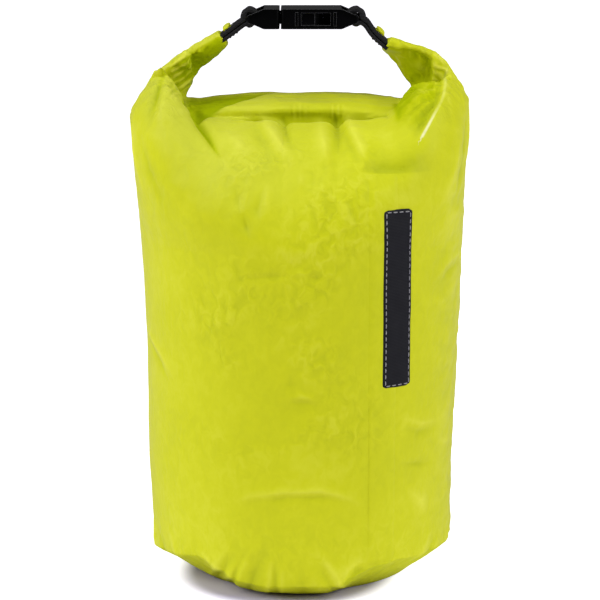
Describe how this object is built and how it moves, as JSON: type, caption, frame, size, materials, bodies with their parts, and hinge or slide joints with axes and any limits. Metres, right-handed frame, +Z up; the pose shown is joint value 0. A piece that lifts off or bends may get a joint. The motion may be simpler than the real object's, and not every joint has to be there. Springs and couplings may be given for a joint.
{
  "type": "roll-top stuff sack",
  "caption": "Round stuff sack of coated fabric with a rolled-down top whose bent-up ends are joined by a side-release buckle into a carry loop.",
  "frame": {"origin": "middle of the base, on the ground", "axes": "+Z up through the carry loop, -Y to the front that the picture shows, +X to the right along the roll"},
  "size_m": [0.187, 0.176, 0.3165],
  "materials": {
    "sack_fabric": "lime green coated nylon with a slight sheen",
    "seam_fabric": "lime green coated nylon, lapped and sewn",
    "seam_tape": "translucent heat-sealed tape",
    "stiffener": "plain flexible plastic strip",
    "webbing": "black woven nylon webbing",
    "thread": "black bonded thread",
    "buckle_plastic": "black moulded acetal, fine satin"
  },
  "bodies": {
    "sack": {"side_panel": "sack_fabric", "base_panel": "sack_fabric", "side_seam": "seam_fabric", "side_seam_tape": "seam_tape", "base_seam_tape": "seam_tape"},
    "closure": {"closure_roll": "sack_fabric", "hem_sleeve": "sack_fabric", "stiffener_strip": "stiffener", "left_horn": "sack_fabric", "right_horn": "sack_fabric", "left_stiffener_end": "stiffener", "right_stiffener_end": "stiffener", "right_tab": "webbing", "right_bartack": "thread", "female_housing": "buckle_plastic"},
    "male_half": {"male_frame": "buckle_plastic", "left_tab": "webbing", "left_bartack": "thread"},
    "front_prong": {"prong_front": "buckle_plastic"},
    "rear_prong": {"prong_rear": "buckle_plastic"}
  },
  "joints": [
    {"name": "closure_tilt", "type": "hinge", "parent": "sack", "child": "closure", "pos_m": [0, 0, 0.2604], "axis": [1, 0, 0], "range_deg": [-20, 20], "stiffness_Nm_per_rad": 0.08},
    {"name": "buckle_slide", "type": "slide", "parent": "closure", "child": "male_half", "axis": [-1, 0, 0], "range_m": [0, 0.028], "deforming": ["prong_front", "prong_rear", "left_horn"]},
    {"name": "front_squeeze", "type": "hinge", "parent": "male_half", "child": "front_prong", "pos_m": [-0.0131, -0.0076, 0.311], "axis": [0, 0, 1], "range_deg": [0, 8], "stiffness_Nm_per_rad": 0.6},
    {"name": "rear_squeeze", "type": "hinge", "parent": "male_half", "child": "rear_prong", "pos_m": [-0.0131, 0.0076, 0.311], "axis": [0, 0, -1], "range_deg": [0, 8], "stiffness_Nm_per_rad": 0.6}
  ]
}
